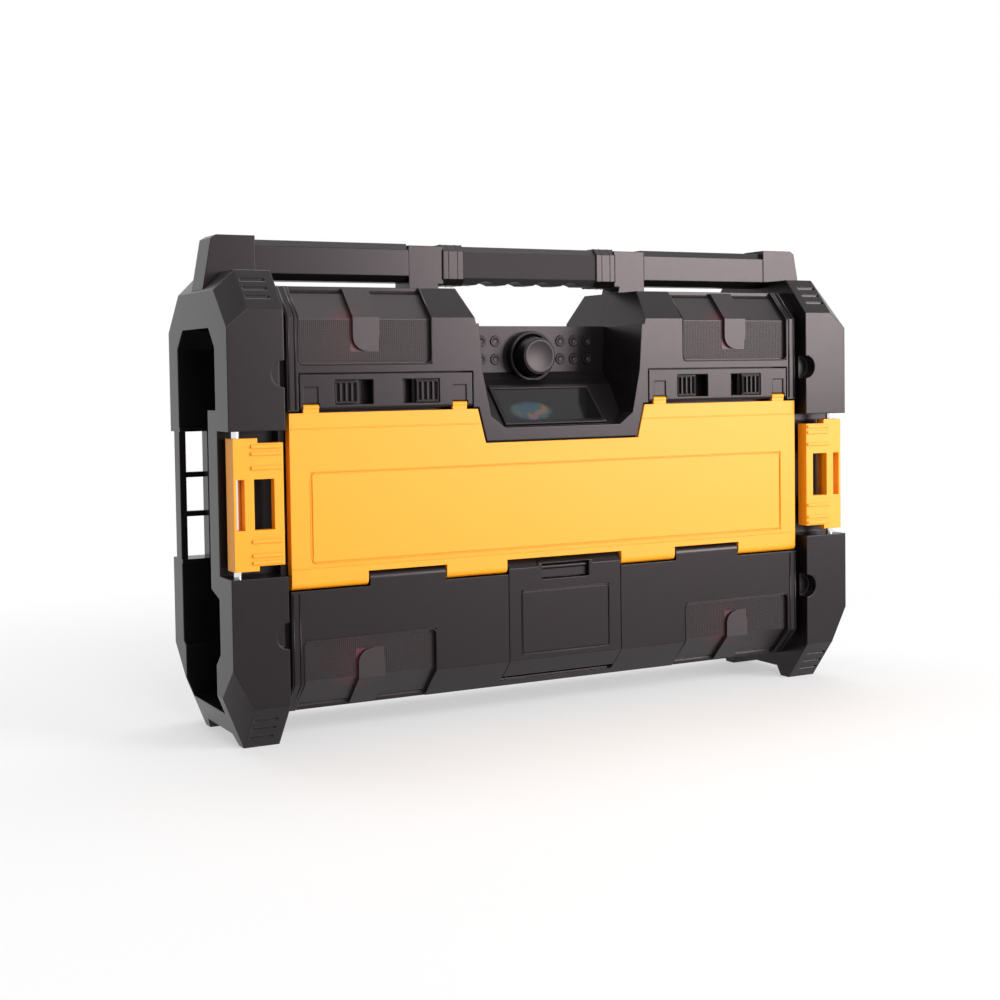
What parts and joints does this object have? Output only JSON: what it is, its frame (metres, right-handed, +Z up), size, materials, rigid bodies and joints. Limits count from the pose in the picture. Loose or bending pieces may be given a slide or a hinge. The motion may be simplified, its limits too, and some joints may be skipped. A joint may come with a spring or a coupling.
{
  "type": "jobsite radio",
  "caption": "Rugged jobsite radio in a stackable case shape, with bumper side frames, carrying handle, drop-down storage door, battery door, side latches and a recessed control panel.",
  "frame": {"origin": "on the ground under the middle of the radio", "axes": "+X to the right seen from the front, +Y from the front to the back, +Z up"},
  "size_m": [0.55, 0.142, 0.3715],
  "materials": {
    "yellow_shell": "satin moulded plastic",
    "black_shell": "fine textured moulded plastic",
    "dark_trim": "satin",
    "inner_black": "plain moulded",
    "soft_black": "soft touch",
    "grille": "finely perforated",
    "speaker": "paper cone with rubber surround",
    "display": "glossy clear cover",
    "board": "circuit board",
    "steel": "bright plated"
  },
  "bodies": {
    "root": {"battery_bay": "inner_black", "battery_hinge_pin": "steel", "battery_terminal_block": "inner_black", "catch_rail_left": "black_shell", "catch_rail_right": "black_shell", "control_panel": "dark_trim", "display_lens": "display", "display_module": "board", "front_housing": "black_shell", "handle_collars": "black_shell", "handle_end_cap_left": "black_shell", "handle_end_cap_right": "black_shell", "handle_grip": "soft_black", "handle_post_left": "black_shell", "handle_post_right": "black_shell", "handle_tube": "black_shell", "housing_screws": "steel", "main_board": "board", "power_inlet": "inner_black", "rear_housing": "black_shell", "rotary_encoder": "inner_black", "side_frame_left": "black_shell", "side_frame_right": "black_shell", "side_latch_rods": "steel", "speaker_driver_lower_left": "speaker", "speaker_driver_lower_right": "speaker", "speaker_driver_upper_left": "speaker", "speaker_driver_upper_right": "speaker", "speaker_grille_lower_left": "grille", "speaker_grille_lower_right": "grille", "speaker_grille_upper_left": "grille", "speaker_grille_upper_right": "grille", "storage_gasket": "soft_black", "storage_hinge_pins": "steel", "storage_tray": "inner_black"},
    "storage_door": {"storage_door": "yellow_shell", "latch_bar_pins": "steel"},
    "battery_door": {"battery_door": "black_shell"},
    "battery_latch": {"battery_door_latch": "dark_trim"},
    "volume_knob": {"volume_knob": "dark_trim"},
    "latch_bar_left": {"latch_bar_left": "black_shell"},
    "side_latch_left": {"side_latch_left": "yellow_shell"},
    "slider_inner_left": {"latch_slider_inner_left": "dark_trim"},
    "slider_outer_left": {"latch_slider_outer_left": "dark_trim"},
    "latch_bar_right": {"latch_bar_right": "black_shell"},
    "side_latch_right": {"side_latch_right": "yellow_shell"},
    "slider_inner_right": {"latch_slider_inner_right": "dark_trim"},
    "slider_outer_right": {"latch_slider_outer_right": "dark_trim"},
    "button_lower_left_1": {"button_lower_left_1": "soft_black"},
    "button_lower_left_2": {"button_lower_left_2": "soft_black"},
    "button_lower_left_3": {"button_lower_left_3": "soft_black"},
    "button_lower_right_1": {"button_lower_right_1": "soft_black"},
    "button_lower_right_2": {"button_lower_right_2": "soft_black"},
    "button_lower_right_3": {"button_lower_right_3": "soft_black"},
    "button_upper_left_1": {"button_upper_left_1": "soft_black"},
    "button_upper_left_2": {"button_upper_left_2": "soft_black"},
    "button_upper_left_3": {"button_upper_left_3": "soft_black"},
    "button_upper_right_1": {"button_upper_right_1": "soft_black"},
    "button_upper_right_2": {"button_upper_right_2": "soft_black"},
    "button_upper_right_3": {"button_upper_right_3": "soft_black"}
  },
  "joints": [
    {"name": "storage_door_hinge", "type": "hinge", "parent": "root", "child": "storage_door", "pos_m": [0, -0.0574, 0.1182], "axis": [1, 0, 0], "range_deg": [0, 90]},
    {"name": "latch_bar_left_hinge", "type": "hinge", "parent": "storage_door", "child": "latch_bar_left", "pos_m": [-0.15, -0.0604, 0.2449], "axis": [1, 0, 0], "range_deg": [0, 75]},
    {"name": "slider_inner_left_slide", "type": "slide", "parent": "latch_bar_left", "child": "slider_inner_left", "axis": [-1, 0, 0], "range_m": [0, 0.0115]},
    {"name": "slider_outer_left_slide", "type": "slide", "parent": "latch_bar_left", "child": "slider_outer_left", "axis": [1, 0, 0], "range_m": [0, 0.0115]},
    {"name": "side_latch_left_hinge", "type": "hinge", "parent": "root", "child": "side_latch_left", "pos_m": [-0.2665, -0.06, 0.177], "axis": [0, 0, -1], "range_deg": [0, 100]},
    {"name": "latch_bar_right_hinge", "type": "hinge", "parent": "storage_door", "child": "latch_bar_right", "pos_m": [0.15, -0.0604, 0.2449], "axis": [1, 0, 0], "range_deg": [0, 75]},
    {"name": "slider_inner_right_slide", "type": "slide", "parent": "latch_bar_right", "child": "slider_inner_right", "axis": [1, 0, 0], "range_m": [0, 0.0115]},
    {"name": "slider_outer_right_slide", "type": "slide", "parent": "latch_bar_right", "child": "slider_outer_right", "axis": [-1, 0, 0], "range_m": [0, 0.0115]},
    {"name": "side_latch_right_hinge", "type": "hinge", "parent": "root", "child": "side_latch_right", "pos_m": [0.2665, -0.06, 0.177], "axis": [0, 0, 1], "range_deg": [0, 100]},
    {"name": "battery_door_hinge", "type": "hinge", "parent": "root", "child": "battery_door", "pos_m": [0, -0.0475, 0.034], "axis": [1, 0, 0], "range_deg": [0, 90]},
    {"name": "battery_latch_pivot", "type": "hinge", "parent": "battery_door", "child": "battery_latch", "pos_m": [0, -0.0577, 0.1155], "axis": [-1, 0, 0], "range_deg": [0, 35], "stiffness_Nm_per_rad": 0.02, "springref_deg": -17.19},
    {"name": "volume_knob_turn", "type": "hinge", "parent": "root", "child": "volume_knob", "pos_m": [0, -0.021, 0.281], "axis": [0, -1, 0], "continuous": true},
    {"name": "button_lower_left_1_press", "type": "slide", "parent": "root", "child": "button_lower_left_1", "axis": [0, 1, 0], "range_m": [0, 0.001], "stiffness_N_per_m": 400, "springref_m": -0.001},
    {"name": "button_lower_left_2_press", "type": "slide", "parent": "root", "child": "button_lower_left_2", "axis": [0, 1, 0], "range_m": [0, 0.001], "stiffness_N_per_m": 400, "springref_m": -0.001},
    {"name": "button_lower_left_3_press", "type": "slide", "parent": "root", "child": "button_lower_left_3", "axis": [0, 1, 0], "range_m": [0, 0.001], "stiffness_N_per_m": 400, "springref_m": -0.001},
    {"name": "button_lower_right_1_press", "type": "slide", "parent": "root", "child": "button_lower_right_1", "axis": [0, 1, 0], "range_m": [0, 0.001], "stiffness_N_per_m": 400, "springref_m": -0.001},
    {"name": "button_lower_right_2_press", "type": "slide", "parent": "root", "child": "button_lower_right_2", "axis": [0, 1, 0], "range_m": [0, 0.001], "stiffness_N_per_m": 400, "springref_m": -0.001},
    {"name": "button_lower_right_3_press", "type": "slide", "parent": "root", "child": "button_lower_right_3", "axis": [0, 1, 0], "range_m": [0, 0.001], "stiffness_N_per_m": 400, "springref_m": -0.001},
    {"name": "button_upper_left_1_press", "type": "slide", "parent": "root", "child": "button_upper_left_1", "axis": [0, 1, 0], "range_m": [0, 0.001], "stiffness_N_per_m": 400, "springref_m": -0.001},
    {"name": "button_upper_left_2_press", "type": "slide", "parent": "root", "child": "button_upper_left_2", "axis": [0, 1, 0], "range_m": [0, 0.001], "stiffness_N_per_m": 400, "springref_m": -0.001},
    {"name": "button_upper_left_3_press", "type": "slide", "parent": "root", "child": "button_upper_left_3", "axis": [0, 1, 0], "range_m": [0, 0.001], "stiffness_N_per_m": 400, "springref_m": -0.001},
    {"name": "button_upper_right_1_press", "type": "slide", "parent": "root", "child": "button_upper_right_1", "axis": [0, 1, 0], "range_m": [0, 0.001], "stiffness_N_per_m": 400, "springref_m": -0.001},
    {"name": "button_upper_right_2_press", "type": "slide", "parent": "root", "child": "button_upper_right_2", "axis": [0, 1, 0], "range_m": [0, 0.001], "stiffness_N_per_m": 400, "springref_m": -0.001},
    {"name": "button_upper_right_3_press", "type": "slide", "parent": "root", "child": "button_upper_right_3", "axis": [0, 1, 0], "range_m": [0, 0.001], "stiffness_N_per_m": 400, "springref_m": -0.001}
  ]
}
